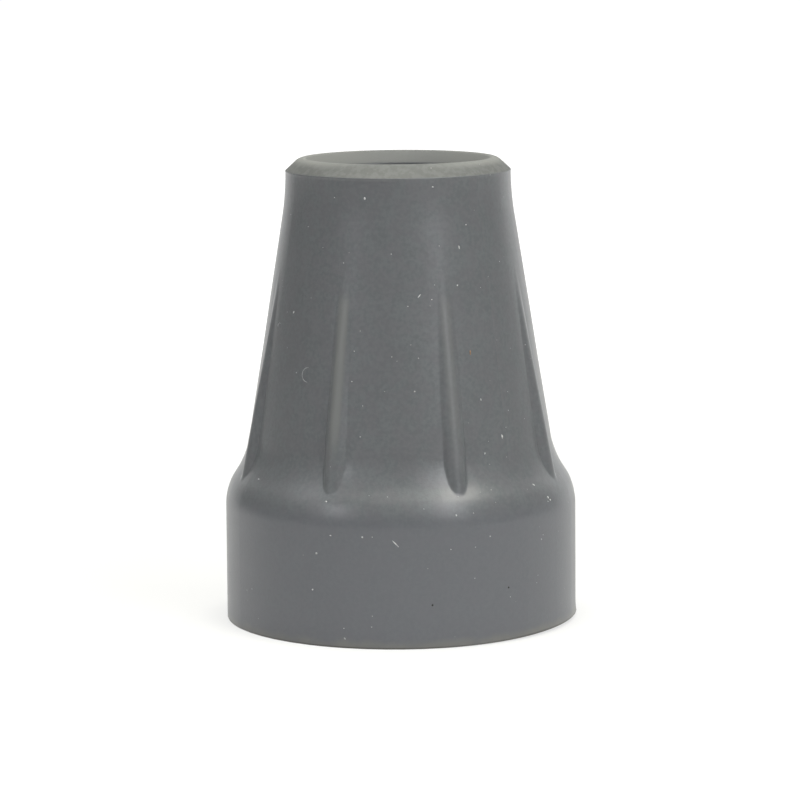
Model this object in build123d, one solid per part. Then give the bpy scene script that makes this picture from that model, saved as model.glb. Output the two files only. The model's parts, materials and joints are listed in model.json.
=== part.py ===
from build123d import *
import math
import os

# Rubber tip for the foot of a walking cane, moulded in one piece.
# Lengths are in millimetres and angles in degrees. The tip stands on its tread with +Z up along
# the bore, and the origin is at the centre of the foot, level with the ground.

# Tube that the tip is pushed onto
tube_diameter = 19.0
tube_grip = 0.1  # how much smaller than the tube the bore is, on the radius

# Overall height, and the rubber below the end of the tube
overall_height = 52.5
base_thickness = 14.0
bore_floor_bevel = 1.0

# Straight collar of the foot
foot_diameter = 40.0
foot_edge_bevel = 0.2
collar_height = 14.95  # up to the sharp corner, before it is rounded

# Shoulder that draws the collar in to the stem
shoulder_width = 2.5  # radial step from the collar to the foot of the stem
shoulder_slope = 33.0  # measured from the vertical
shoulder_round = 5.9
shoulder_straight = 1.0  # straight stretch left between the outer and the inner round

# Tapered stem, easing into a short straight neck
neck_wall = 3.35
neck_length = 2.5
neck_ease = 2.2  # how far the easing reaches each way from the foot of the neck

# Bevelled lip and the lead-in that guides the tube
lip_height = 1.45
lip_slope = 46.0  # measured from the vertical
lip_round = 1.2
lead_in_depth = 1.4
lead_in_width = 1.08
lead_in_round = 0.5

# Mould parting line, a fine ridge round the foot of the lip
parting_ridge = 0.08

# Ribs that rise out of the stem and run out onto the shoulder
rib_count = 8
rib_round = 1.25
rib_foot_rise = 1.8  # above the sharp corner of the collar
rib_head_drop = 10.0  # below the foot of the neck
rib_run_out = 3.0  # length buried in the rubber past each end

# Ring tread of the underside
tread_depth = 1.5
tread_groove_width = 2.2
tread_land_width = 3.2
tread_outer_land = 3.6
tread_groove_count = 2
tread_draft = 12.0  # lean of each groove's walls
cup_depth = 2.0
cup_land_width = 3.0

# Sizes that follow from the ones above
bore_radius = tube_diameter / 2 - tube_grip
foot_radius = foot_diameter / 2
stem_foot_radius = foot_radius - shoulder_width
stem_foot_height = collar_height + shoulder_width / math.tan(math.radians(shoulder_slope))
shoulder_length = shoulder_width / math.sin(math.radians(shoulder_slope))
neck_radius = bore_radius + neck_wall
crease_height = overall_height - lip_height
neck_foot_height = crease_height - neck_length
stem_slope = math.degrees(math.atan2(stem_foot_radius - neck_radius, neck_foot_height - stem_foot_height))
lip_corner_radius = neck_radius - lip_height * math.tan(math.radians(lip_slope))
mouth_radius = bore_radius + lead_in_width


def shoulder_radius_at(height):
    """Radius of the straight stretch of the shoulder at a height."""
    return foot_radius - (height - collar_height) * math.tan(math.radians(shoulder_slope))


def stem_radius_at(height):
    """Radius of the tapered stem at a height."""
    share = (height - stem_foot_height) / (neck_foot_height - stem_foot_height)
    return stem_foot_radius + share * (neck_radius - stem_foot_radius)


def tangent_length(corner_round, turn):
    """Length that a round takes from each side of a corner of that turn."""
    return corner_round * math.tan(math.radians(turn / 2))


def round_for(length, turn):
    """Radius of the round that takes a length from each side of a corner of that turn."""
    return length / math.tan(math.radians(turn / 2))


def round_corner(face, radius, height, corner_round):
    """Round the corner of a section that lies at a radius and a height."""
    corner = face.vertices().sort_by_distance(Vector(radius, 0, height))[0]
    return fillet(corner, corner_round)


def full_turn(section):
    """Turn a half section all the way round the bore's axis."""
    return revolve(section, Axis.Z, 360)


def half_section(points):
    """Closed half section from (radius, height) points."""
    corners = [(radius, 0, height) for radius, height in points]
    return make_face(Polyline(*corners, close=True))


def make_outer_form():
    """Collar, shoulder, tapered stem, neck and bevelled lip, still solid inside."""
    section = half_section(
        [
            (0, 0),
            (foot_radius - foot_edge_bevel, 0),
            (foot_radius, foot_edge_bevel),
            (foot_radius, collar_height),
            (stem_foot_radius, stem_foot_height),
            (neck_radius, neck_foot_height),
            (neck_radius, crease_height - parting_ridge),
            (neck_radius + parting_ridge, crease_height),
            (neck_radius, crease_height + parting_ridge),
            (lip_corner_radius, overall_height),
            (0, overall_height),
        ]
    )
    shoulder_left = shoulder_length - shoulder_straight - tangent_length(shoulder_round, shoulder_slope)
    shoulder_fillet = round_for(shoulder_left, shoulder_slope - stem_slope)
    section = round_corner(section, foot_radius, collar_height, shoulder_round)
    section = round_corner(section, stem_foot_radius, stem_foot_height, shoulder_fillet)
    section = round_corner(section, neck_radius, neck_foot_height, round_for(neck_ease, stem_slope))
    section = round_corner(section, lip_corner_radius, overall_height, lip_round)
    return full_turn(section)


def make_rib():
    """One round rib whose crest leaves the stem at its head and meets the shoulder at its foot."""
    foot_height = collar_height + rib_foot_rise
    head_height = neck_foot_height - rib_head_drop
    crest_foot = Vector(shoulder_radius_at(foot_height), 0, foot_height)
    crest_head = Vector(stem_radius_at(head_height), 0, head_height)
    along = (crest_head - crest_foot).normalized()
    inward = Vector(-along.Z, 0, along.X)
    start = crest_foot + inward * rib_round - along * rib_run_out
    length = (crest_head - crest_foot).length + 2 * rib_run_out
    return extrude(Plane(origin=start, z_dir=along) * Circle(rib_round), amount=length)


def make_ribs():
    """All the ribs, set half a pitch either side of the -Y and +X directions."""
    pitch = 360 / rib_count
    rib = make_rib()
    return [Rot(0, 0, (index + 0.5) * pitch) * rib for index in range(rib_count)]


def make_bore():
    """Blind bore for the tube, with a bevel round its floor and a flared lead-in at its mouth."""
    return full_turn(
        half_section(
            [
                (0, base_thickness),
                (bore_radius - bore_floor_bevel, base_thickness),
                (bore_radius, base_thickness + bore_floor_bevel),
                (bore_radius, overall_height - lead_in_depth),
                (mouth_radius, overall_height),
                (mouth_radius, overall_height + lip_height),
                (0, overall_height + lip_height),
            ]
        )
    )


def make_tread_groove(outer_radius):
    """One ring groove of the tread, a little narrower at its floor than at the ground."""
    taper = tread_depth * math.tan(math.radians(tread_draft))
    inner_radius = outer_radius - tread_groove_width
    return full_turn(
        half_section(
            [
                (inner_radius, 0),
                (outer_radius, 0),
                (outer_radius - taper, tread_depth),
                (inner_radius + taper, tread_depth),
            ]
        )
    )


def make_tread():
    """Ring grooves and the shallow cup in the middle of the underside."""
    pitch = tread_groove_width + tread_land_width
    outer_radii = [foot_radius - tread_outer_land - index * pitch for index in range(tread_groove_count)]
    cup_radius = outer_radii[-1] - tread_groove_width - cup_land_width
    taper = cup_depth * math.tan(math.radians(tread_draft))
    cup = full_turn(half_section([(0, 0), (cup_radius, 0), (cup_radius - taper, cup_depth), (0, cup_depth)]))
    return [make_tread_groove(radius) for radius in outer_radii] + [cup]


def make_cane_tip():
    """The whole tip: outer form and ribs, less the bore and the tread."""
    body = make_outer_form()
    body += make_ribs()
    body -= make_bore()
    body -= make_tread()
    mouth = body.edges().filter_by(GeomType.CIRCLE).sort_by_distance(Vector(mouth_radius, 0, overall_height))[0]
    return fillet(mouth, lead_in_round)


cane_tip = make_cane_tip()
cane_tip.label = "cane_tip"

os.makedirs("parts", exist_ok=True)
export_step(cane_tip, "parts/cane_tip.step")

print("bore radius", round(bore_radius, 2), "from", base_thickness, "to", overall_height - lead_in_depth)
print("volume in cubic centimetres", round(cane_tip.volume / 1000, 2))
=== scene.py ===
"""Render scene of a moulded rubber cane tip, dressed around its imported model.

The tip is one piece of rubber: a straight foot, a rounded shoulder, a tapered stem with eight ribs, and
a bevelled lip round the bore for the tube. Sizes are in millimetres and angles in degrees. They become
metres and radians where a mesh is made. Azimuths are counted from the front (-Y) towards the right (+X).
"""

import json
import logging
import math
import random
from dataclasses import dataclass, field
from enum import Enum
from typing import Any, Iterator, Mapping, Sequence, Union

import bmesh
import bpy
from mathutils import Matrix, Vector, noise
from mathutils.bvhtree import BVHTree


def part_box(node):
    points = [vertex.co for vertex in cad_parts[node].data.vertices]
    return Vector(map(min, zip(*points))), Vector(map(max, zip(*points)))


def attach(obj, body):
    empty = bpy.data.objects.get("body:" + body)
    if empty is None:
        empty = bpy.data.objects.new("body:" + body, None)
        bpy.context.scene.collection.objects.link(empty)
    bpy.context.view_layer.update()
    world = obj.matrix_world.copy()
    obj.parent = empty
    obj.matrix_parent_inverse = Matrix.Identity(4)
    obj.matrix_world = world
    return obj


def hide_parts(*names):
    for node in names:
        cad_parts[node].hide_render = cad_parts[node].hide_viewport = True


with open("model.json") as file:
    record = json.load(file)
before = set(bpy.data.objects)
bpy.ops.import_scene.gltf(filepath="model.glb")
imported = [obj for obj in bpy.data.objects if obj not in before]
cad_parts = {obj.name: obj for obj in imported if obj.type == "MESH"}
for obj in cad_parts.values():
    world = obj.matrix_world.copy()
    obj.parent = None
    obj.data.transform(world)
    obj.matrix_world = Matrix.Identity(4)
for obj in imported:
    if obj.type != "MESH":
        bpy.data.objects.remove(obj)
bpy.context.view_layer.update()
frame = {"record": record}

MM = 0.001
WELD = 0.002  # how close points are merged once the section is turned, in millimetres
SLIVER = 0.0001  # edges shorter than this are closed up, in millimetres
NODE = "cane_tip"
BODY = "root"

LOG = logging.getLogger("cane_tip_scene")

Colour = tuple[float, float, float]
Source = Union["Value", bpy.types.NodeSocket, float, Sequence[float]]


class Value:
    """A number socket in a node tree, on which arithmetic adds Math nodes."""

    def __init__(self, graph: "Graph", socket: bpy.types.NodeSocket) -> None:
        """Keeps the tree and the socket.

        Args:
            graph: the node tree that the socket belongs to.
            socket: an output socket that carries a number.
        """
        self.graph = graph
        self.socket = socket

    def _math(
        self, operation: str, first: Source, second: Source = 0.0, clamp: bool = False
    ) -> "Value":
        """Adds one Math node.

        Args:
            operation: the Math node's operation.
            first: its first number.
            second: its second number.
            clamp: whether the result is held between 0 and 1.

        Returns:
            The node's result.
        """
        settings = {"operation": operation, "use_clamp": clamp}
        node = self.graph.add("ShaderNodeMath", settings, {0: first, 1: second})
        return Value(self.graph, node.outputs[0])

    def __add__(self, other: Source) -> "Value":
        """Sum of this and another number."""
        return self._math("ADD", self, other)

    def __sub__(self, other: Source) -> "Value":
        """This number less another."""
        return self._math("SUBTRACT", self, other)

    def __mul__(self, other: Source) -> "Value":
        """Product of this and another number."""
        return self._math("MULTIPLY", self, other)

    def __truediv__(self, other: Source) -> "Value":
        """This number divided by another."""
        return self._math("DIVIDE", self, other)

    def __pow__(self, other: Source) -> "Value":
        """This number to a power."""
        return self._math("POWER", self, other)

    def __lt__(self, other: Source) -> "Value":
        """1 where this number is the smaller one, and 0 elsewhere."""
        return self._math("LESS_THAN", self, other)

    def __radd__(self, other: float) -> "Value":
        """Sum of a plain number and this one."""
        return self._math("ADD", other, self)

    def __rsub__(self, other: float) -> "Value":
        """A plain number less this one."""
        return self._math("SUBTRACT", other, self)

    def __rmul__(self, other: float) -> "Value":
        """Product of a plain number and this one."""
        return self._math("MULTIPLY", other, self)

    def __rtruediv__(self, other: float) -> "Value":
        """A plain number divided by this one."""
        return self._math("DIVIDE", other, self)

    def clamped(self) -> "Value":
        """This number held between 0 and 1."""
        return self._math("ADD", self, 0.0, clamp=True)

    def absolute(self) -> "Value":
        """This number without its sign."""
        return self._math("ABSOLUTE", self)

    def larger(self, other: Source) -> "Value":
        """The larger of this and another number."""
        return self._math("MAXIMUM", self, other)

    def ramp(self, low: float, high: float) -> "Value":
        """Smooth step of this number.

        Args:
            low: where the result is 0.
            high: where the result is 1.

        Returns:
            The step's height, from 0 to 1.
        """
        settings = {"interpolation_type": "SMOOTHSTEP"}
        limits = {"Value": self, "From Min": low, "From Max": high}
        node = self.graph.add("ShaderNodeMapRange", settings, limits)
        return Value(self.graph, node.outputs["Result"])


class Graph:
    """The node tree of a material or of the world, emptied and ready to be filled."""

    def __init__(self, tree: bpy.types.NodeTree) -> None:
        """Empties the tree.

        Args:
            tree: the tree to fill.
        """
        self.tree = tree
        self.tree.nodes.clear()

    def add(
        self,
        kind: str,
        settings: Mapping[str, Any] | None = None,
        inputs: Mapping[Any, Source] | None = None,
    ) -> bpy.types.Node:
        """Adds any node.

        Args:
            kind: the node's type.
            settings: the node's own settings, which are set first.
            inputs: the value or the link of each socket, by name or number.

        Returns:
            The new node.
        """
        node = self.tree.nodes.new(kind)
        for name, setting in (settings or {}).items():
            setattr(node, name, setting)
        for name, source in (inputs or {}).items():
            self._feed(node.inputs[name], source)
        return node

    def _feed(self, socket: bpy.types.NodeSocket, source: Source) -> None:
        """Links or sets one input socket.

        Args:
            socket: the input socket.
            source: what goes into it.
        """
        if isinstance(source, Value):
            source = source.socket
        if isinstance(source, bpy.types.NodeSocket):
            self.tree.links.new(source, socket)
        else:
            socket.default_value = source

    def value(self, node: bpy.types.Node, output: str | int = 0) -> Value:
        """A node's output as a number that takes arithmetic."""
        return Value(self, node.outputs[output])

    def place(self) -> bpy.types.NodeSocket:
        """The place on the object, in metres."""
        return self.add("ShaderNodeTexCoord").outputs["Object"]

    def noise(
        self, place: bpy.types.NodeSocket, grain: float, detail: float = 2.0, rough: float = 0.5
    ) -> Value:
        """Cloudy noise around 0.5.

        Args:
            place: the coordinates that it follows.
            grain: size of its clouds, in millimetres.
            detail: how many finer layers it has.
            rough: how strong the finer layers are.

        Returns:
            The noise.
        """
        inputs = {"Vector": place, "Scale": 1 / (grain * MM), "Detail": detail, "Roughness": rough}
        return self.value(self.add("ShaderNodeTexNoise", inputs=inputs), "Fac")

    def blend(self, factor: Source, first: Source, second: Source) -> bpy.types.NodeSocket:
        """Mix of two colours.

        Args:
            factor: 0 for the first colour and 1 for the second.
            first: the first colour.
            second: the second colour.

        Returns:
            The mixed colour.
        """
        colours = {0: factor, 6: opaque(first), 7: opaque(second)}
        return self.add("ShaderNodeMix", {"data_type": "RGBA"}, colours).outputs[2]

    def finish(self, surface: bpy.types.NodeSocket, kind: str = "ShaderNodeOutputMaterial") -> None:
        """Ends the tree with its output node."""
        self.add(kind, inputs={"Surface": surface})


@dataclass(frozen=True)
class Spot:
    """A point of a surface, as the numbers that its finish follows, in millimetres."""

    place: bpy.types.NodeSocket
    across: Value
    behind: Value
    height: Value
    radius: Value

    @classmethod
    def on(cls, graph: Graph) -> "Spot":
        """Adds the nodes that read the point.

        Args:
            graph: the material's tree.

        Returns:
            The point, with its distance from the axis as its radius.
        """
        place = graph.place()
        parts = graph.add("ShaderNodeSeparateXYZ", inputs={0: place})
        across, behind, height = (graph.value(parts, axis) / MM for axis in "XYZ")
        return cls(place, across, behind, height, (across * across + behind * behind) ** 0.5)


def opaque(colour: Source) -> Source:
    """A plain colour with its alpha, or a link as it is."""
    if isinstance(colour, tuple):
        return (*colour, 1.0)
    return colour


def grey(level: float) -> Colour:
    """A colour without any hue."""
    return (level, level, level)


def new_material(name: str) -> tuple[bpy.types.Material, Graph]:
    """Makes a material with an empty tree.

    Args:
        name: the material's name.

    Returns:
        The material, and its tree.
    """
    material = bpy.data.materials.new(name)
    material.use_nodes = True
    return material, Graph(material.node_tree)


@dataclass(frozen=True)
class Landmarks:
    """The places on the tip that its finish is drawn to.

    The dry rubber begins at the crease, and it is paler within the mouth's radius, with painted side
    light towards both sides there and on the crest. The two front ribs, which carry a painted highlight
    along their crests, lie at the rib's azimuth to each side. The worn bottom edge is lifted by the worn
    lift on the right.
    """

    crease: float
    mouth_radius: float
    rib_azimuth: float
    worn_lift: float


@dataclass(frozen=True)
class RubberFinish:
    """Satin grey rubber, faintly mottled, with fine dust, a soiled bottom edge and painted light and shade.

    An edge, a side or a width is the stretch over which its mask rises from 0 to 1. A grain is the size
    of a noise's clouds, and a share is how much of a colour or a noise is mixed in. The painted light and
    shade are cool light on the collar, a highlight along the front rib crests, side light on the lip and a
    contact shadow along the bottom edge.
    """

    dark: Colour = (0.0933, 0.1003, 0.1087)
    light: Colour = (0.1105, 0.1185, 0.1285)
    mottle_grain: float = 5.0
    mottle_share: float = 0.3
    patch_grain: float = 1.2
    patch_share: float = 0.3
    fine_grain: float = 0.42
    fine_share: float = 0.9
    tone_edge: tuple[float, float] = (0.55, 0.95)

    plum: Colour = (0.1100, 0.1060, 0.1190)
    plum_grain: float = 1.6
    plum_edge: tuple[float, float] = (0.4, 0.6)
    plum_share: float = 0.35
    # painted cool light: the collar is tinted cooler and darker below the shoulder
    painted_cool_light: Colour = (0.0969, 0.1016, 0.1201)
    painted_cool_light_edge: tuple[float, float] = (13.0, 16.0)
    painted_cool_light_share: float = 0.6

    # painted highlight along the crests of the two front ribs, stronger on the left
    painted_crest_highlight: Colour = (0.134, 0.139, 0.142)
    crest_highlight_foot: tuple[float, float] = (19.0, 25.0)
    crest_highlight_head: tuple[float, float] = (37.0, 39.0)
    crest_highlight_width: tuple[float, float] = (0.35, 1.0)
    crest_highlight_side: tuple[float, float] = (-8.0, 8.0)
    crest_highlight_fade: float = 0.6

    lip: Colour = (0.100, 0.103, 0.103)
    lip_soil: Colour = (0.078, 0.081, 0.079)
    lip_grain: float = 0.7
    lip_edge: tuple[float, float] = (0.4, 0.6)
    mouth: Colour = (0.106, 0.109, 0.110)
    mouth_blur: float = 0.2
    # painted side light: the lip's crest and the mouth are made paler towards both sides
    painted_side_light: Colour = (0.176, 0.179, 0.173)
    side_light_rise: tuple[float, float] = (0.7, 1.3)
    side_light_spread: tuple[float, float] = (2.0, 10.0)
    side_light_share: float = 0.7
    dry_edge: float = 0.12
    dry_share: float = 0.85

    soil: Colour = (0.158, 0.156, 0.144)
    soil_height: float = 1.20
    soil_grain: float = 2.5
    soil_share: float = 0.7
    # painted contact shadow: a dark line along the very bottom edge
    painted_contact_shadow: Colour = (0.045, 0.043, 0.034)
    contact_shadow_edge: tuple[float, float] = (0.05, 0.30)
    worn_side: tuple[float, float] = (8.0, 21.0)

    dust: Colour = (0.30, 0.30, 0.31)
    dust_cell: float = 1.3
    dust_size: float = 0.08
    dust_share: float = 0.45

    roughness: float = 0.33
    roughness_spread: float = 0.05
    dusty_roughness: float = 0.3
    dry_roughness: float = 0.75
    specular: float = 0.65
    skin_grain: float = 0.25
    skin_rough: float = 0.6
    skin_depth: float = 0.010

    def material(self, marks: Landmarks) -> bpy.types.Material:
        """Builds the material.

        Args:
            marks: the places on the tip that the finish is drawn to.

        Returns:
            The rubber material.
        """
        material, graph = new_material("grey_rubber")
        spot = Spot.on(graph)
        patches = graph.noise(spot.place, self.patch_grain, detail=3.0)
        dry = spot.height.ramp(marks.crease, marks.crease + self.dry_edge)
        dust = self._dust(graph, spot)
        colour = self._bare(graph, spot, patches)
        # painted highlight along the front rib crests
        colour = graph.blend(self._painted_crest_highlight_mask(spot, marks), colour, self.painted_crest_highlight)
        # dry lip, with painted side light towards both sides
        colour = graph.blend(dry * self.dry_share, colour, self._dry_lip(graph, spot, marks))
        # pale soil and a painted contact shadow along the bottom edge
        colour = self._soil_and_contact_shadow(graph, spot, marks, colour)
        colour = graph.blend(dust, colour, self.dust)
        rough = self.roughness + (patches - 0.5) * self.roughness_spread + dust * self.dusty_roughness
        rough = rough + dry * (self.dry_roughness - self.roughness)
        skin = graph.noise(spot.place, self.skin_grain, detail=3.0, rough=self.skin_rough)
        relief = {"Strength": 1.0, "Distance": self.skin_depth * MM, "Height": skin}
        bump = graph.add("ShaderNodeBump", inputs=relief)
        inputs = {"Base Color": colour, "Roughness": rough, "Normal": bump.outputs[0]}
        inputs["Specular IOR Level"] = self.specular
        shader = graph.add("ShaderNodeBsdfPrincipled", inputs=inputs)
        graph.finish(shader.outputs[0])
        return material

    def _bare(self, graph: Graph, spot: Spot, patches: Value) -> bpy.types.NodeSocket:
        """Colour of the clean rubber, with a faint purple tinge in places and painted cool light on the
        collar.

        Args:
            graph: the material's tree.
            spot: the point of the surface.
            patches: the noise of the small patches.

        Returns:
            The colour.
        """
        mottle = graph.noise(spot.place, self.mottle_grain, detail=3.0)
        fine = graph.noise(spot.place, self.fine_grain, detail=1.0)
        tone = mottle * self.mottle_share + patches * self.patch_share + fine * self.fine_share
        colour = graph.blend(tone.ramp(*self.tone_edge), self.dark, self.light)
        plum = graph.noise(spot.place, self.plum_grain).ramp(*self.plum_edge)
        colour = graph.blend(plum * self.plum_share, colour, self.plum)
        # painted cool light: the colour turns cooler and darker below the shoulder
        low = 1.0 - spot.height.ramp(*self.painted_cool_light_edge)
        return graph.blend(low * self.painted_cool_light_share, colour, self.painted_cool_light)

    def _painted_crest_highlight_mask(self, spot: Spot, marks: Landmarks) -> Value:
        """Where a highlight is painted along the crests of the two front ribs, more so on the left.

        Args:
            spot: the point of the surface.
            marks: the places that the finish is drawn to.

        Returns:
            1 on a crest with its painted highlight and 0 elsewhere.
        """
        slant = (spot.across / spot.behind).absolute() - math.tan(math.radians(marks.rib_azimuth))
        crest = 1.0 - (slant.absolute() * spot.radius).ramp(*self.crest_highlight_width)
        length = spot.height.ramp(*self.crest_highlight_foot) * (1.0 - spot.height.ramp(*self.crest_highlight_head))
        strength = 1.0 - spot.across.ramp(*self.crest_highlight_side) * self.crest_highlight_fade
        return crest * length * (spot.behind < 0.0) * strength

    def _dry_lip(self, graph: Graph, spot: Spot, marks: Landmarks) -> bpy.types.NodeSocket:
        """Colour of the dry rubber of the lip and the mouth.

        Args:
            graph: the material's tree.
            spot: the point of the surface.
            marks: the places that the finish is drawn to.

        Returns:
            The colour, with painted side light on the crest and in the mouth to both sides.
        """
        radius = marks.mouth_radius
        mouth = 1.0 - spot.radius.ramp(radius - self.mouth_blur, radius + self.mouth_blur)
        stain = graph.noise(spot.place, self.lip_grain, detail=3.0).ramp(*self.lip_edge)
        lip = graph.blend(stain, self.lip_soil, self.lip)
        # painted side light: paler on the crest and in the mouth towards both sides
        crest = (spot.height - marks.crease).ramp(*self.side_light_rise)
        pale = mouth.larger(crest) * spot.across.absolute().ramp(*self.side_light_spread)
        return graph.blend(pale * self.side_light_share, graph.blend(mouth, lip, self.mouth), self.painted_side_light)

    def _soil_and_contact_shadow(
        self, graph: Graph, spot: Spot, marks: Landmarks, colour: bpy.types.NodeSocket
    ) -> bpy.types.NodeSocket:
        """Lays pale soil and a dark line of painted contact shadow along the bottom edge.

        Args:
            graph: the material's tree.
            spot: the point of the surface.
            marks: the places that the finish is drawn to.
            colour: the rubber's colour.

        Returns:
            The colour with its soil and painted contact shadow.
        """
        low = spot.height - spot.across.ramp(*self.worn_side) * marks.worn_lift
        uneven = low + (graph.noise(spot.place, self.soil_grain) - 0.5) * self.soil_height
        soil = 1.0 - uneven.ramp(0.0, self.soil_height)
        colour = graph.blend(soil * self.soil_share, colour, self.soil)
        # painted contact shadow along the bottom edge, lifted with the worn edge on the right
        return graph.blend(1.0 - low.ramp(*self.contact_shadow_edge), colour, self.painted_contact_shadow)

    def _dust(self, graph: Graph, spot: Spot) -> Value:
        """Scattered pinpoints of dust.

        Args:
            graph: the material's tree.
            spot: the point of the surface.

        Returns:
            1 on a pinpoint and 0 elsewhere.
        """
        spread = {"Vector": spot.place, "Scale": 1 / (self.dust_cell * MM)}
        cells = graph.add("ShaderNodeTexVoronoi", inputs=spread)
        chance = graph.value(graph.add("ShaderNodeSeparateColor", inputs={0: cells.outputs["Color"]}))
        size = (1.0 - chance / self.dust_share).clamped() * (self.dust_size / self.dust_cell)
        return graph.value(cells, "Distance") < size


@dataclass(frozen=True)
class DirtFinish:
    """Matt finish of the loose dirt on the rubber."""

    name: str
    pale: Colour
    deep: Colour
    grain: float = 0.3
    edge: tuple[float, float] = (0.35, 0.65)
    roughness: float = 0.85

    def material(self) -> bpy.types.Material:
        """Builds the material.

        Returns:
            The dirt's material, uneven from pale to deep.
        """
        material, graph = new_material(self.name)
        uneven = graph.noise(graph.place(), self.grain).ramp(*self.edge)
        colour = graph.blend(uneven, self.deep, self.pale)
        inputs = {"Base Color": colour, "Roughness": self.roughness}
        graph.finish(graph.add("ShaderNodeBsdfPrincipled", inputs=inputs).outputs[0])
        return material


class Dirt(Enum):
    """The kinds of loose dirt."""

    DUST = DirtFinish("pale_dust", (0.48, 0.48, 0.50), (0.32, 0.32, 0.33))
    RUST = DirtFinish("brown_grit", (0.36, 0.20, 0.09), (0.20, 0.10, 0.05))
    GRIT = DirtFinish("dark_grit", (0.035, 0.034, 0.033), (0.020, 0.020, 0.020))


@dataclass(frozen=True)
class FloorFinish:
    """White studio floor that keeps a faint shadow round the tip.

    The bounce is the grey that other light meets. The camera and gloss see a glow that grows from near
    to far, over a grey that takes the shadow. Gloss sees the floor dimmed beside the tip, as if black
    screens stood there, but not within the backdrop's angle behind it, which leans to one side.
    """

    bounce: float = 0.75
    seen: float = 0.20
    near_glow: float = 0.70
    far_glow: float = 1.0
    near: float = 60.0
    far: float = 300.0
    dimming: tuple[float, float] = (120.0, 500.0)
    dimmed: float = 0.6
    backdrop: tuple[float, float] = (0.64, 0.72)
    lean: float = 0.08

    def material(self) -> bpy.types.Material:
        """Builds the material.

        Returns:
            The floor's material: plain to other light, and white to the camera and to gloss.
        """
        material, graph = new_material("studio_floor")
        path = graph.add("ShaderNodeLightPath")
        gloss = graph.value(path, "Is Glossy Ray")
        seen = graph.value(path, "Is Camera Ray").larger(gloss)
        seen = seen.larger(graph.value(path, "Is Transmission Ray"))
        spot = Spot.on(graph)
        beside = 1.0 - ((spot.behind + spot.across * self.lean) / spot.radius).ramp(*self.backdrop)
        glow = self.near_glow + spot.radius.ramp(self.near, self.far) * (self.far_glow - self.near_glow)
        glow = glow * (1.0 - gloss * beside * spot.radius.ramp(*self.dimming) * self.dimmed)
        plain = graph.add("ShaderNodeBsdfDiffuse", inputs={"Color": opaque(grey(self.bounce))})
        shaded = graph.add("ShaderNodeBsdfDiffuse", inputs={"Color": opaque(grey(self.seen))})
        lit = graph.add("ShaderNodeEmission", inputs={"Strength": glow})
        white = graph.add("ShaderNodeAddShader", inputs={0: shaded.outputs[0], 1: lit.outputs[0]})
        floor = graph.add("ShaderNodeMixShader", inputs={0: seen, 1: plain.outputs[0], 2: white.outputs[0]})
        graph.finish(floor.outputs[0])
        return material


@dataclass(frozen=True)
class Corner:
    """A corner of the tip's half section, with the length that its round takes from each side."""

    radius: float
    height: float
    ease: float = 0.0
    steps: int = 3


@dataclass(frozen=True)
class Spans:
    """How finely the turned form is divided.

    A rib and a seam have a width in degrees and a number of steps, and what lies between them has the
    gap's steps, or none below the smallest gap. Rows are heights between the outside's rings.
    """

    rib: tuple[float, int] = (14.0, 40)
    seam: tuple[float, int] = (2.0, 8)
    gap_steps: int = 5
    smallest_gap: float = 0.01
    stem_rows: float = 0.33
    collar_rows: float = 0.50


def slope_run(drop: float, slope: float) -> float:
    """Sideways run of a straight stretch that leans away from the vertical.

    Args:
        drop: its height.
        slope: its lean from the vertical.

    Returns:
        The run.
    """
    return drop * math.tan(math.radians(slope))


def turned(angle: float, pitch: float = 360.0) -> float:
    """An angle in degrees brought to within half a pitch of 0."""
    return (angle + pitch / 2) % pitch - pitch / 2


def smooth_larger(first: float, second: float, ease: float) -> float:
    """The larger of two numbers, with a small fillet where they are nearly equal.

    Args:
        first: one number.
        second: the other.
        ease: the difference below which the fillet begins.

    Returns:
        The larger number, a little raised within the fillet.
    """
    near = max(ease - abs(first - second), 0.0)
    return max(first, second) + near * near / (4 * ease)


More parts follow.
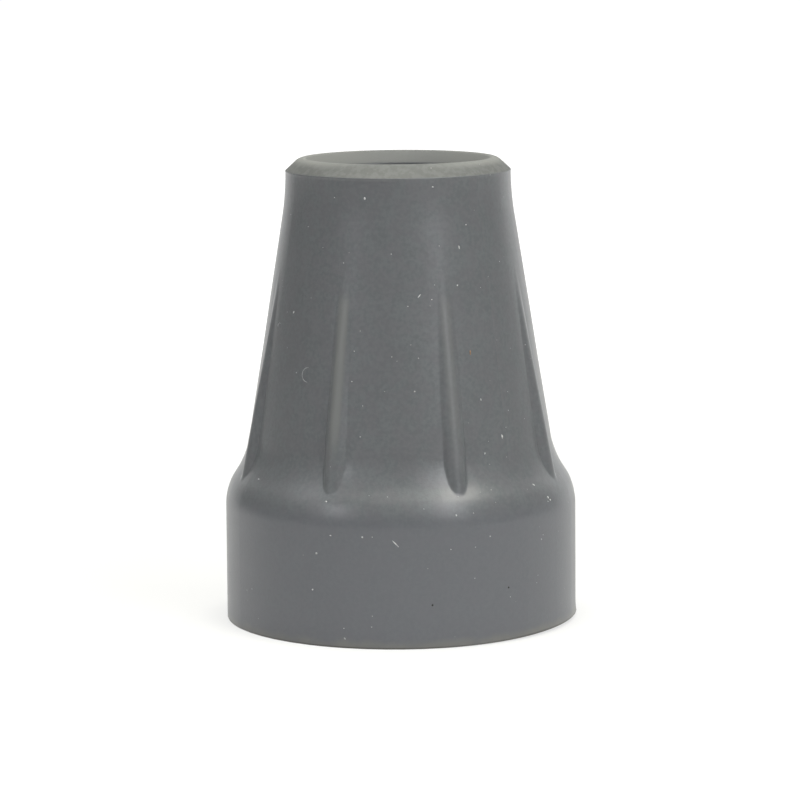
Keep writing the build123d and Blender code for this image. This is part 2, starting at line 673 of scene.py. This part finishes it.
@dataclass
class RubberBody:
    """The moulded rubber: a turned section with ribs, parting lines and small moulding faults.

    An ease is the length that a round takes from each side of its corner. The ridge runs round the foot
    of the lip, highest between its ends, and the seams are the upright parting lines on the stem.
    """

    finish: RubberFinish = field(default_factory=RubberFinish)
    spans: Spans = field(default_factory=Spans)

    collar_height: float = 14.95
    shoulder_width: float = 2.5
    shoulder_slope: float = 33.0
    shoulder_ease: float = 1.75
    shoulder_inner_ease: float = 1.84
    neck_wall: float = 3.35
    neck_length: float = 2.5
    neck_ease: float = 2.2
    lip_height: float = 1.45
    lip_slope: float = 46.0
    lip_ease: float = 0.48
    lead_in_depth: float = 1.36
    lead_in_width: float = 1.08
    lead_in_ease: float = 0.22
    foot_edge_ease: float = 0.16
    floor_ease: float = 1.0
    edge_ease: float = 0.15

    rib_azimuths: tuple[float, ...] = (-69.8, -22.5, 22.5, 69.8, 112.5, 157.5, 202.5, 247.5)
    rib_foot_round: float = 1.25
    rib_head_round: float = 1.7
    rib_foot_rise: float = 1.8
    rib_head_drop: float = 10.0
    rib_run_out: float = 4.0
    rib_foot_fillet: float = 0.05
    rib_head_fillet: float = 0.22
    side_rib_fillet: float = 0.14

    groove_width: float = 2.2
    groove_depth: float = 1.5
    groove_taper: float = 0.32
    land_width: float = 3.2
    outer_land: float = 3.6
    groove_count: int = 2
    cup_depth: float = 2.0
    cup_land: float = 3.0
    cup_taper: float = 0.43

    ridge_width: float = 0.10
    ridge_rise: float = 0.11
    ridge_ends: tuple[float, float] = (-42.0, 4.0)
    ridge_faint: float = 0.25
    ridge_uneven: float = 0.4
    ridge_waves: float = 5.0
    seam_azimuth: float = 46.0
    seam_count: int = 2
    seam_rise: float = 0.02
    seam_width: float = 0.22
    waver: float = 0.03
    waver_grain: float = 9.0

    nub_azimuth: float = -85.5
    nub_height: float = 5.0
    nub_reach: float = 0.9
    nub_rise: float = 0.18
    flare_azimuth: float = 84.0
    flare_spread: float = 35.0
    flare_height: float = 1.6
    flare_rise: float = 0.13
    wear_azimuth: float = 82.0
    wear_spread: float = 40.0
    wear_height: float = 2.0
    wear_lift: float = 0.4
    wear_width: float = 1.0

    def __post_init__(self) -> None:
        """Works out the sizes that follow from the frame and from the fields."""
        low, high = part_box(NODE)
        bore = next(mount for mount in frame["record"]["mounts"] if mount["name"] == "bore")
        self.foot_radius = (high[0] - low[0]) / MM / 2
        self.top = high[2] / MM
        self.bore_radius = bore["dims"]["r_mm"]
        wall_bottom = bore["pos_m"][2] / MM - bore["dims"]["length_mm"] / 2
        self.bore_floor = round(wall_bottom - self.floor_ease, 1)
        self.neck_radius = self.bore_radius + self.neck_wall
        self.crease = self.top - self.lip_height
        self.neck_foot = self.crease - self.neck_length
        self.stem_foot_radius = self.foot_radius - self.shoulder_width
        self.stem_foot = self.collar_height + self.shoulder_width / slope_run(1.0, self.shoulder_slope)
        self.mouth_radius = self.bore_radius + self.lead_in_width
        self.seam_start = self.seam_azimuth - self.spans.seam[0] / 2
        self.front_rib, self.side_rib = self.rib_azimuths[2:4]
        self.rib_foot = self.collar_height + self.rib_foot_rise
        self.rib_head = self.neck_foot - self.rib_head_drop
        self.rib_foot_radius = self.foot_radius - slope_run(self.rib_foot_rise, self.shoulder_slope)
        share = (self.rib_head - self.stem_foot) / (self.neck_foot - self.stem_foot)
        self.rib_head_radius = self.stem_foot_radius + share * (self.neck_radius - self.stem_foot_radius)
        run, rise = self.rib_foot_radius - self.rib_head_radius, self.rib_head - self.rib_foot
        self.rib_lean = math.atan2(run, rise)

    def build(self) -> bpy.types.Object:
        """Builds the whole piece.

        Returns:
            The rubber body's object.
        """
        mesh = bmesh.new()
        self._lay_outline(mesh)
        self._turn(mesh)
        for vertex in mesh.verts:
            vertex.co = self._moulded(vertex.co)
        bmesh.ops.recalc_face_normals(mesh, faces=mesh.faces)
        self.surface = BVHTree.FromBMesh(mesh)
        marks = Landmarks(self.crease, self.mouth_radius, self.front_rib, self.wear_lift)
        body = new_object("rubber_body", mesh, self.finish.material(marks))
        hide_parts(NODE)
        return body

    def _corners(self) -> list[Corner]:
        """The half section, from the middle of the underside round to the middle of the bore's floor.

        Returns:
            The section's corners in order.
        """
        lip_radius = self.neck_radius - slope_run(self.lip_height, self.lip_slope)
        ridge_radius = self.neck_radius - self.ridge_width / 2
        return self._tread_corners() + [
            Corner(self.foot_radius, 0.0, self.foot_edge_ease),
            Corner(self.foot_radius, self.collar_height, self.shoulder_ease, steps=14),
            Corner(self.stem_foot_radius, self.stem_foot, self.shoulder_inner_ease, steps=12),
            Corner(self.neck_radius, self.neck_foot, self.neck_ease, steps=8),
            Corner(self.neck_radius, self.crease - self.ridge_width),
            Corner(self.neck_radius, self.crease),
            Corner(ridge_radius, self.crease + self.ridge_width),
            Corner(lip_radius, self.top, self.lip_ease, steps=8),
            Corner(self.mouth_radius, self.top, self.lead_in_ease, steps=5),
            Corner(self.bore_radius, self.top - self.lead_in_depth, self.edge_ease),
            Corner(self.bore_radius, self.bore_floor, self.floor_ease, steps=6),
            Corner(0.0, self.bore_floor),
        ]

    def _tread_corners(self) -> list[Corner]:
        """The underside's part of the half section.

        Returns:
            The corners from the axis out to the last groove's outer edge.
        """
        pitch = self.groove_width + self.land_width
        cup_radius = self.foot_radius - self.outer_land - (self.groove_count - 1) * pitch
        cup_radius -= self.groove_width + self.cup_land
        corners = [
            Corner(0.0, self.cup_depth),
            Corner(cup_radius - self.cup_taper, self.cup_depth, self.edge_ease),
            Corner(cup_radius, 0.0, self.edge_ease),
        ]
        for index in reversed(range(self.groove_count)):
            outer = self.foot_radius - self.outer_land - index * pitch
            inner = outer - self.groove_width
            corners += [
                Corner(inner, 0.0, self.edge_ease),
                Corner(inner + self.groove_taper, self.groove_depth, self.edge_ease),
                Corner(outer - self.groove_taper, self.groove_depth, self.edge_ease),
                Corner(outer, 0.0, self.edge_ease),
            ]
        return corners

    def _lay_outline(self, mesh: bmesh.types.BMesh) -> None:
        """Lays the half section as a wire, rounds its corners and divides the outside into rows.

        Args:
            mesh: the empty mesh.
        """
        corners = self._corners()
        turn = Matrix.Rotation(math.radians(self.seam_start - 90.0), 3, "Z")
        points = [turn @ Vector((corner.radius, 0.0, corner.height)) * MM for corner in corners]
        vertices = [mesh.verts.new(point) for point in points]
        for pair in zip(vertices, vertices[1:]):
            mesh.edges.new(pair)
        for corner, vertex in zip(corners, vertices):
            if corner.ease > 0:
                bmesh.ops.bevel(
                    mesh,
                    geom=[vertex],
                    offset=corner.ease * MM,
                    offset_type="OFFSET",
                    affect="VERTICES",
                    segments=corner.steps,
                    profile=0.5,
                    material=-1,
                )
        for wall in [edge for edge in mesh.edges if self._on_outside(edge)]:
            on_collar = all(vertex.co.z < self.collar_height * MM for vertex in wall.verts)
            rows = self.spans.collar_rows if on_collar else self.spans.stem_rows
            bmesh.ops.subdivide_edges(mesh, edges=[wall], cuts=int(wall.calc_length() / MM / rows))

    def _on_outside(self, edge: bmesh.types.BMEdge) -> bool:
        """Whether an edge of the outline lies above the ground and no further in than the neck."""
        inmost = (self.neck_radius - self.ridge_width / 4) * MM
        return all(vertex.co.xy.length > inmost and vertex.co.z > 0.0 for vertex in edge.verts)

    def _turns(self) -> Iterator[tuple[float, int]]:
        """The stretches of the full turn, from one parting line round to itself.

        Yields:
            Each stretch's angle in degrees, and its steps.
        """
        seams = [self.seam_azimuth + index * 360.0 / self.seam_count for index in range(self.seam_count)]
        details = [(azimuth, self.spans.seam) for azimuth in seams]
        details += [(azimuth, self.spans.rib) for azimuth in self.rib_azimuths]
        details = sorted(((azimuth - self.seam_start) % 360.0, span) for azimuth, span in details)
        reached = 0.0
        for middle, (width, steps) in details:
            gap = middle - width / 2 - reached
            if gap > self.spans.smallest_gap:
                yield gap, self.spans.gap_steps
            yield width, steps
            reached = middle + width / 2
        yield 360.0 - reached, self.spans.gap_steps

    def _turn(self, mesh: bmesh.types.BMesh) -> None:
        """Turns the outline all the way round, with fine steps at the ribs and the parting lines.

        Args:
            mesh: the mesh that holds the outline.
        """
        section = mesh.verts[:] + mesh.edges[:]
        for angle, steps in self._turns():
            spun = bmesh.ops.spin(
                mesh,
                geom=section,
                cent=(0.0, 0.0, 0.0),
                axis=(0.0, 0.0, 1.0),
                angle=math.radians(angle),
                steps=steps,
                use_merge=False,
                use_duplicate=False,
            )
            section = spun["geom_last"]
        bmesh.ops.remove_doubles(mesh, verts=mesh.verts, dist=WELD * MM)
        bmesh.ops.dissolve_degenerate(mesh, edges=mesh.edges, dist=SLIVER * MM)

    def _moulded(self, point: Vector) -> Vector:
        """Moves one point of the turned form out to the ribs, the parting lines and the moulding faults.

        Args:
            point: a point in metres.

        Returns:
            The moved point.
        """
        radius = point.xy.length / MM
        height = point.z / MM
        azimuth = math.degrees(math.atan2(point.x, -point.y))
        if radius > self.foot_radius - self.wear_width:
            point = point + Vector((0.0, 0.0, self._wear(azimuth, height) * MM))
        if radius < self.mouth_radius or not 0.0 < height < self.top:
            return point
        moved = smooth_larger(radius, self._rib_radius(azimuth, height), self._rib_fillet(azimuth, height))
        moved += self._waver(point, height)
        moved += self._ridge(azimuth, height)
        moved += self._seam(azimuth, height, radius)
        moved += self._nub(azimuth, height)
        moved += self._flare(azimuth, height)
        share = moved / radius
        return Vector((point.x * share, point.y * share, point.z))

    def _rib_radius(self, azimuth: float, height: float) -> float:
        """Distance from the axis to the nearest rib's round bar, at one azimuth and height.

        Args:
            azimuth: the direction, in degrees from the front.
            height: the height above the ground.

        Returns:
            The distance, or 0 where the bar isn't met.
        """
        if not self.rib_foot - self.rib_run_out < height < self.rib_head + self.rib_run_out:
            return 0.0
        bar = self.rib_foot_round + self._up_rib(height) * (self.rib_head_round - self.rib_foot_round)
        crest = self.rib_foot_radius - (height - self.rib_foot) * math.tan(self.rib_lean)
        lean = math.cos(self.rib_lean)
        centre = (crest - bar / lean) * lean
        offset = math.radians(min(abs(turned(azimuth - rib)) for rib in self.rib_azimuths))
        flat = math.cos(offset) * lean
        square = flat * flat + math.sin(offset) ** 2
        middle = flat * centre
        inside = middle * middle - square * (centre**2 - bar**2)
        return (middle + math.sqrt(inside)) / square if inside > 0 else 0.0

    def _rib_fillet(self, azimuth: float, height: float) -> float:
        """Size of the fillet beside a rib.

        Args:
            azimuth: the direction, in degrees from the front.
            height: the height above the ground.

        Returns:
            The size, which grows from foot to head on the front ribs and is even on the others.
        """
        if abs(azimuth) > (self.front_rib + self.side_rib) / 2:
            return self.side_rib_fillet
        return self.rib_foot_fillet + self._up_rib(height) * (self.rib_head_fillet - self.rib_foot_fillet)

    def _up_rib(self, height: float) -> float:
        """How far up a rib a height is, from 0 at its foot to 1 at its head."""
        return min(max((height - self.rib_foot) / (self.rib_head - self.rib_foot), 0.0), 1.0)

    def _waver(self, point: Vector, height: float) -> float:
        """Slow unevenness of the moulded wall, none of it at the ground."""
        swell = noise.noise(point / (self.waver_grain * MM))
        return self.waver * swell * min(height / self.collar_height, 1.0)

    def _ridge(self, azimuth: float, height: float) -> float:
        """Rise of the fine ridge at the foot of the lip, uneven round the turn."""
        across = (height - self.crease) / self.ridge_width
        if abs(across) >= 1.0:
            return 0.0
        turn = Vector((math.cos(math.radians(azimuth)), math.sin(math.radians(azimuth)), 0.0))
        uneven = self.ridge_faint + self.ridge_uneven * noise.noise(turn * self.ridge_waves)
        if self.ridge_ends[0] < azimuth < self.ridge_ends[1]:
            uneven = 1.0
        return self.ridge_rise * uneven * (1.0 - abs(across))

    def _seam(self, azimuth: float, height: float, radius: float) -> float:
        """Rise of the upright parting lines on the stem."""
        pitch = 360.0 / self.seam_count
        away = turned(azimuth - self.seam_azimuth, pitch)
        across = math.radians(away) * radius / self.seam_width
        if abs(across) >= 1.0 or not self.stem_foot < height < self.crease:
            return 0.0
        return self.seam_rise * (1.0 - abs(across)) * min(height - self.stem_foot, 1.0)

    def _nub(self, azimuth: float, height: float) -> float:
        """Rise of the small nub low on the collar."""
        sideways = math.radians(azimuth - self.nub_azimuth) * self.foot_radius
        away = math.hypot(sideways, height - self.nub_height) / self.nub_reach
        return self.nub_rise * math.cos(away * math.pi / 2) ** 2 if away < 1.0 else 0.0

    def _flare(self, azimuth: float, height: float) -> float:
        """Outward flash at the bottom edge on the right."""
        if height > self.flare_height:
            return 0.0
        side = math.exp(-(((azimuth - self.flare_azimuth) / self.flare_spread) ** 2))
        return self.flare_rise * side * (1.0 - height / self.flare_height) ** 2

    def _wear(self, azimuth: float, height: float) -> float:
        """Lift of the worn bottom edge on the right."""
        if height > self.wear_height:
            return 0.0
        side = math.exp(-(((azimuth - self.wear_azimuth) / self.wear_spread) ** 2))
        return self.wear_lift * side * (1.0 - height / self.wear_height)


def new_object(name: str, mesh: bmesh.types.BMesh, material: bpy.types.Material) -> bpy.types.Object:
    """Makes an object of the part from a finished bmesh.

    Args:
        name: the piece's name.
        mesh: its geometry, which is freed.
        material: its finish.

    Returns:
        The object, smooth shaded, riding on the part's body.
    """
    data = bpy.data.meshes.new(name)
    for face in mesh.faces:
        face.smooth = True
    mesh.to_mesh(data)
    mesh.free()
    data.materials.append(material)
    piece = bpy.data.objects.new(name, data)
    bpy.context.scene.collection.objects.link(piece)
    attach(piece, BODY)
    return piece


@dataclass(frozen=True)
class Fleck:
    """A speck of dirt on the outside, by its azimuth, height and size."""

    azimuth: float
    height: float
    size: float
    kind: Dirt = Dirt.DUST
    stretch: float = 1.0
    tilt: float = 0.0


@dataclass(frozen=True)
class Fibre:
    """A short curled fibre that lies on the outside."""

    azimuth: float
    height: float
    bend: float
    sweep: float
    start: float
    thickness: float = 0.018


@dataclass
class LooseDirt:
    """The specks and fibres that lie on the rubber."""

    body: RubberBody
    grain_flatness: float = 0.5
    fibre_sides: int = 6
    fibre_steps: int = 14
    stray_count: int = 140
    stray_seed: int = 11
    stray_sizes: tuple[float, float] = (0.04, 0.07)
    stray_lowest: float = 1.0
    flecks: tuple[Fleck, ...] = (
        Fleck(59.0, 15.2, 0.155),
        Fleck(60.0, 14.9, 0.129),
        Fleck(58.5, 14.8, 0.091),
        Fleck(0.5, 11.8, 0.077, stretch=8.0, tilt=134.0),
        Fleck(44.0, 22.4, 0.115, stretch=2.6, tilt=94.0),
        Fleck(31.5, 43.4, 0.115, stretch=2.2, tilt=103.0),
        Fleck(54.0, 16.8, 0.091, stretch=3.0, tilt=148.0),
        Fleck(-25.5, 10.4, 0.142),
        Fleck(-14.5, 48.9, 0.129, stretch=1.3, tilt=85.0),
        Fleck(11.0, 38.3, 0.064, stretch=5.0, tilt=50.0),
        Fleck(20.0, 14.7, 0.129),
        Fleck(-10.0, 12.5, 0.115),
        Fleck(-23.0, 16.1, 0.103, stretch=1.5),
        Fleck(-50.5, 36.0, 0.103, stretch=1.4, tilt=76.0),
        Fleck(35.5, 26.7, 0.103, stretch=1.4, tilt=112.0),
        Fleck(-16.0, 1.1, 0.103, stretch=1.5, tilt=125.0),
        Fleck(-27.0, 6.3, 0.115),
        Fleck(-57.0, 17.3, 0.091, stretch=1.8, tilt=9.0),
        Fleck(53.5, 10.8, 0.103),
        Fleck(19.5, 50.1, 0.103),
        Fleck(29.0, 39.3, 0.103),
        Fleck(8.0, 28.0, 0.091),
        Fleck(35.0, 20.8, 0.077, stretch=2.0, tilt=70.0),
        Fleck(36.5, 45.8, 0.091),
        Fleck(26.0, 14.8, 0.077),
        Fleck(31.5, 12.1, 0.091),
        Fleck(-20.5, 12.5, 0.077, stretch=1.6),
        Fleck(18.0, 11.0, 0.077),
        Fleck(-47.0, 45.5, 0.077),
        Fleck(32.5, 31.9, 0.071, Dirt.RUST, stretch=4.5, tilt=87.0),
        Fleck(38.5, 6.1, 0.129, Dirt.GRIT),
        Fleck(12.0, 4.9, 0.129, Dirt.GRIT),
    )
    fibres: tuple[Fibre, ...] = (
        Fibre(-38.0, 29.4, 0.80, 190.0, 85.0),
        Fibre(-61.0, 34.2, 0.35, 130.0, 60.0),
    )

    def build(self) -> list[bpy.types.Object]:
        """Builds one piece for each kind of dirt.

        Returns:
            The pieces.
        """
        strays = self._strays()
        pieces = []
        for kind in Dirt:
            mesh = bmesh.new()
            for fleck in (*self.flecks, *strays):
                if fleck.kind is kind:
                    self._add_fleck(mesh, fleck)
            if kind is Dirt.DUST:
                for fibre in self.fibres:
                    self._add_fibre(mesh, fibre)
            pieces.append(new_object(kind.value.name, mesh, kind.value.material()))
        return pieces

    def _strays(self) -> list[Fleck]:
        """Smaller specks strewn over the whole outside.

        Returns:
            The specks.
        """
        chance = random.Random(self.stray_seed)
        strays = []
        for _ in range(self.stray_count):
            azimuth = chance.uniform(-180.0, 180.0)
            height = chance.uniform(self.stray_lowest, self.body.crease)
            strays.append(Fleck(azimuth, height, chance.uniform(*self.stray_sizes)))
        return strays

    def _seat(self, azimuth: float, height: float) -> Matrix:
        """Where a speck sits on the rubber.

        Args:
            azimuth: its direction from the axis.
            height: its height above the ground.

        Returns:
            A placing whose origin is on the surface, with Z pointing out of the rubber and Y upwards.
        """
        turn = math.radians(azimuth)
        outward = Vector((math.sin(turn), -math.cos(turn), 0.0))
        start = outward * self.body.foot_radius * 2 * MM + Vector((0.0, 0.0, height * MM))
        spot, normal, _, _ = self.body.surface.ray_cast(start, -outward)
        across = Vector((0.0, 0.0, 1.0)).cross(normal).normalized()
        upward = normal.cross(across)
        seat = Matrix((across, upward, normal)).transposed().to_4x4()
        return Matrix.Translation(spot) @ seat

    def _add_fleck(self, mesh: bmesh.types.BMesh, fleck: Fleck) -> None:
        """Adds one flattened grain.

        Args:
            mesh: the mesh that takes it.
            fleck: the speck's place and size.
        """
        shape = Matrix.Diagonal((fleck.stretch, 1.0, self.grain_flatness, 1.0))
        tilt = Matrix.Rotation(math.radians(fleck.tilt), 4, "Z")
        place = self._seat(fleck.azimuth, fleck.height) @ tilt @ shape
        bmesh.ops.create_icosphere(mesh, subdivisions=1, radius=fleck.size * MM, matrix=place)

    def _add_fibre(self, mesh: bmesh.types.BMesh, fibre: Fibre) -> None:
        """Adds one curled fibre, a thin round thread bent to an arc on the surface.

        Args:
            mesh: the mesh that takes it.
            fibre: the fibre's place and curl.
        """
        seat = self._seat(fibre.azimuth, fibre.height)
        upright = Matrix.Rotation(math.radians(90.0), 4, "X")
        start = Matrix.Rotation(math.radians(fibre.start), 4, "Z")
        offset = Matrix.Translation((fibre.bend * MM, 0.0, fibre.thickness * MM / 2))
        ring = bmesh.ops.create_circle(
            mesh,
            cap_ends=True,
            segments=self.fibre_sides,
            radius=fibre.thickness * MM,
            matrix=seat @ start @ offset @ upright,
        )
        vertices = ring["verts"]
        edges = list({edge for vertex in vertices for edge in vertex.link_edges})
        faces = list({face for vertex in vertices for face in vertex.link_faces})
        bmesh.ops.spin(
            mesh,
            geom=vertices + edges + faces,
            cent=seat.translation,
            axis=seat.col[2].xyz,
            angle=math.radians(fibre.sweep),
            steps=self.fibre_steps,
            use_merge=False,
            use_duplicate=False,
        )


@dataclass(frozen=True)
class Lamp:
    """A soft square lamp, by its direction from the camera's side, its height as an angle, and its size."""

    name: str
    azimuth: float
    elevation: float
    size: float
    power: float
    colour: Colour = (1.0, 1.0, 1.05)


@dataclass
class Studio:
    """White studio with soft lamps, and the camera at the photograph's viewing angle."""

    floor: FloorFinish = field(default_factory=FloorFinish)
    lamps: tuple[Lamp, ...] = (
        Lamp("top_lamp", 0.0, 89.0, 400.0, 8.9, (1.0, 1.0, 0.89)),
        Lamp("high_key_lamp", 70.0, 60.0, 260.0, 1.5, (1.0, 1.0, 0.89)),
        Lamp("key_lamp", 50.0, 50.0, 260.0, 1.5, (1.0, 1.0, 0.92)),
        Lamp("front_key_lamp", 34.0, 35.0, 260.0, 1.0),
        Lamp("low_key_lamp", 36.0, 20.0, 160.0, 0.3),
        Lamp("side_fill_lamp", -75.0, 40.0, 300.0, 0.37),
        Lamp("front_fill_lamp", -45.0, 25.0, 160.0, 0.52),
    )
    floor_size: float = 6000.0
    turn: float = 2.2
    distance: float = 401.4
    height: float = 83.2
    aim_height: float = 24.75
    roll: float = 0.45
    lens: float = 160.0
    sensor: float = 36.0
    frame_pixels: float = 800.0
    axis_pixel: float = 399.9
    ambient: float = 0.13
    backdrop_rise: float = 0.25
    lamp_reach: float = 800.0

    def build(self) -> None:
        """Sets up the floor, the world, the lamps and the camera."""
        self._lay_floor()
        self._light_world()
        for lamp in self.lamps:
            self._hang_lamp(lamp)
        self._place_camera()
        bpy.context.scene.view_settings.view_transform = "Standard"

    def _lay_floor(self) -> None:
        """Lays the wide white floor at the height that the tip stands on."""
        mesh = bmesh.new()
        bmesh.ops.create_grid(mesh, x_segments=1, y_segments=1, size=self.floor_size / 2 * MM)
        data = bpy.data.meshes.new("studio_floor")
        mesh.to_mesh(data)
        mesh.free()
        data.materials.append(self.floor.material())
        floor = bpy.data.objects.new("studio_floor", data)
        bpy.context.scene.collection.objects.link(floor)

    def _light_world(self) -> None:
        """Makes the world white to the camera, and to gloss behind the tip, and dim elsewhere."""
        world = bpy.data.worlds.new("studio_world")
        world.use_nodes = True
        graph = Graph(world.node_tree)
        path = graph.add("ShaderNodeLightPath")
        direction = graph.add("ShaderNodeTexCoord").outputs["Generated"]
        parts = graph.add("ShaderNodeSeparateXYZ", inputs={0: direction})
        across, behind, above = (graph.value(parts, axis) for axis in "XYZ")
        backdrop = behind + across * self.floor.lean + above * self.backdrop_rise
        backdrop = backdrop.ramp(*self.floor.backdrop)
        seen = graph.value(path, "Is Camera Ray").larger(graph.value(path, "Is Transmission Ray"))
        white = seen.larger(graph.value(path, "Is Glossy Ray") * backdrop)
        strength = self.ambient + white * (1.0 - self.ambient)
        sky = graph.add("ShaderNodeBackground", inputs={"Color": opaque(grey(1.0)), "Strength": strength})
        graph.finish(sky.outputs[0], "ShaderNodeOutputWorld")
        bpy.context.scene.world = world

    def _hang_lamp(self, lamp: Lamp) -> None:
        """Hangs one soft square lamp that faces the tip.

        Args:
            lamp: the lamp's place, size and power.
        """
        light = bpy.data.lights.new(lamp.name, "AREA")
        light.shape = "SQUARE"
        light.size = lamp.size * MM
        light.energy = lamp.power
        light.color = lamp.colour
        hung = bpy.data.objects.new(lamp.name, light)
        turn, rise = math.radians(lamp.azimuth + self.turn), math.radians(lamp.elevation)
        away = Vector((math.sin(turn) * math.cos(rise), -math.cos(turn) * math.cos(rise), math.sin(rise)))
        aim = Vector((0.0, 0.0, self.aim_height * MM))
        hung.matrix_world = Matrix.Translation(aim + away * self.lamp_reach * MM) @ facing(-away)
        bpy.context.scene.collection.objects.link(hung)

    def _place_camera(self) -> None:
        """Places the camera where the photograph was taken from."""
        data = bpy.data.cameras.new("camera")
        data.lens = self.lens
        data.sensor_width = self.sensor
        data.shift_x = (self.frame_pixels / 2 - self.axis_pixel) / self.frame_pixels
        turn = math.radians(self.turn)
        place = Vector((math.sin(turn) * self.distance, -math.cos(turn) * self.distance, self.height))
        place = place * MM
        aim = Vector((0.0, 0.0, self.aim_height * MM))
        roll = Matrix.Rotation(math.radians(-self.roll), 4, "Z")
        camera = bpy.data.objects.new("camera", data)
        camera.matrix_world = Matrix.Translation(place) @ facing(aim - place) @ roll
        bpy.context.scene.collection.objects.link(camera)
        bpy.context.scene.camera = camera


def facing(direction: Vector) -> Matrix:
    """Turn of a lamp or a camera that looks along a direction, with its top upwards."""
    return direction.to_track_quat("-Z", "Y").to_matrix().to_4x4()


def main() -> None:
    """Builds the tip and the studio."""
    logging.basicConfig(level=logging.INFO, format="%(name)s: %(message)s")
    body = RubberBody()
    pieces = [body.build()]
    pieces += LooseDirt(body).build()
    for piece in pieces:
        LOG.info("%s has %d faces", piece.name, len(piece.data.polygons))
    Studio().build()


if __name__ == "__main__":
    main()
